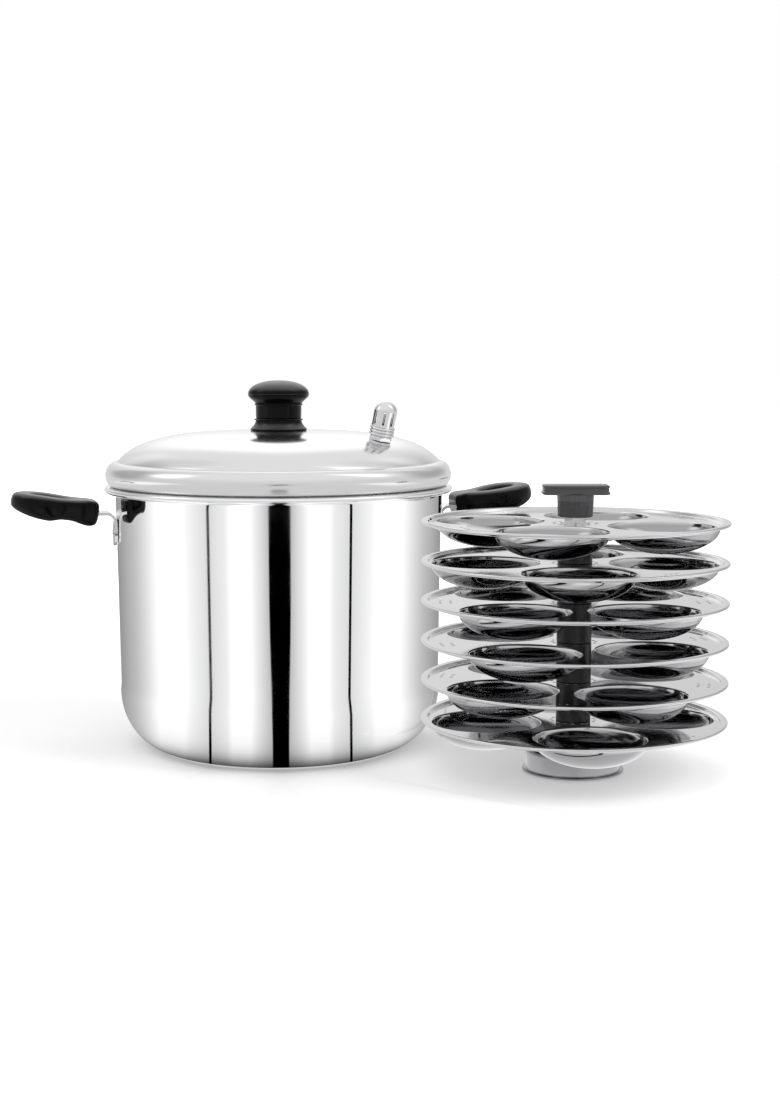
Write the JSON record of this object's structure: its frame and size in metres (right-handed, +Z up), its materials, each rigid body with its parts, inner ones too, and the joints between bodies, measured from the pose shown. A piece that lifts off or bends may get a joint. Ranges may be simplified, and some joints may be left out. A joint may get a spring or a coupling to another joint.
{
  "type": "idli steamer",
  "caption": "Lidded stainless steel steaming pot with black side handles, knob and steam vent, beside its free-standing rack of turning plates with round cups.",
  "frame": {"origin": "centre of the pot's flat base, on the surface it stands on", "axes": "+Z up along the pot's axis, +X through the right-hand handle, +Y away from the rack's side"},
  "size_m": [0.4606, 0.3528, 0.2575],
  "materials": {
    "polished_steel": "mirror-polished stainless steel sheet",
    "plate_steel": "buffed stainless steel sheet, a little softer than the pot",
    "fitting_steel": "bright steel strap, screws and nuts",
    "vent_steel": "polished turned steel",
    "black_bakelite": "glossy moulded phenolic",
    "grey_plastic": "satin moulded plastic"
  },
  "bodies": {
    "pot": {"pot_body": "polished_steel", "handle_bracket_left": "fitting_steel", "handle_bracket_right": "fitting_steel", "handle_left": "black_bakelite", "handle_right": "black_bakelite", "handle_screws": "fitting_steel"},
    "lid": {"lid_shell": "polished_steel", "lid_knob": "black_bakelite", "knob_base": "black_bakelite", "knob_screw": "fitting_steel", "vent_stem": "vent_steel", "vent_collar": "vent_steel", "vent_nut": "fitting_steel"},
    "vent_cap": {"vent_cap": "vent_steel"},
    "rack": {"rack_foot": "plate_steel", "centre_rod": "fitting_steel", "foot_nut": "fitting_steel", "spacer_1": "grey_plastic", "spacer_2": "grey_plastic", "spacer_3": "grey_plastic", "spacer_4": "grey_plastic", "spacer_5": "grey_plastic", "spacer_6": "grey_plastic", "hub_nut": "fitting_steel"},
    "plate_1": {"idli_plate_1": "plate_steel"},
    "plate_2": {"idli_plate_2": "plate_steel"},
    "plate_3": {"idli_plate_3": "plate_steel"},
    "plate_4": {"idli_plate_4": "plate_steel"},
    "plate_5": {"idli_plate_5": "plate_steel"},
    "plate_6": {"idli_plate_6": "plate_steel"},
    "lift_knob": {"lift_knob": "grey_plastic"}
  },
  "joints": [
    {"name": "lid_lift", "type": "slide", "parent": "pot", "child": "lid", "axis": [0, 0, 1], "range_m": [0, 0.15]},
    {"name": "vent_cap_lift", "type": "slide", "parent": "lid", "child": "vent_cap", "axis": [0.1611, -0.1518, 0.9752], "range_m": [0, 0.004]},
    {"name": "rack_slide", "type": "slide", "parent": "pot", "child": "rack", "axis": [0.8022, -0.5971, 0], "range_m": [0, 0.3]},
    {"name": "plate_1_turn", "type": "hinge", "parent": "rack", "child": "plate_1", "pos_m": [0.174, -0.1295, 0.1652], "axis": [0, 0, 1], "continuous": true},
    {"name": "plate_2_turn", "type": "hinge", "parent": "rack", "child": "plate_2", "pos_m": [0.174, -0.1295, 0.13887], "axis": [0, 0, 1], "continuous": true},
    {"name": "plate_3_turn", "type": "hinge", "parent": "rack", "child": "plate_3", "pos_m": [0.174, -0.1295, 0.11254], "axis": [0, 0, 1], "continuous": true},
    {"name": "plate_4_turn", "type": "hinge", "parent": "rack", "child": "plate_4", "pos_m": [0.174, -0.1295, 0.08621], "axis": [0, 0, 1], "continuous": true},
    {"name": "plate_5_turn", "type": "hinge", "parent": "rack", "child": "plate_5", "pos_m": [0.174, -0.1295, 0.05988], "axis": [0, 0, 1], "continuous": true},
    {"name": "plate_6_turn", "type": "hinge", "parent": "rack", "child": "plate_6", "pos_m": [0.174, -0.1295, 0.03355], "axis": [0, 0, 1], "continuous": true},
    {"name": "lift_knob_turn", "type": "hinge", "parent": "rack", "child": "lift_knob", "pos_m": [0.174, -0.1295, 0.184], "axis": [0, 0, 1], "continuous": true}
  ]
}
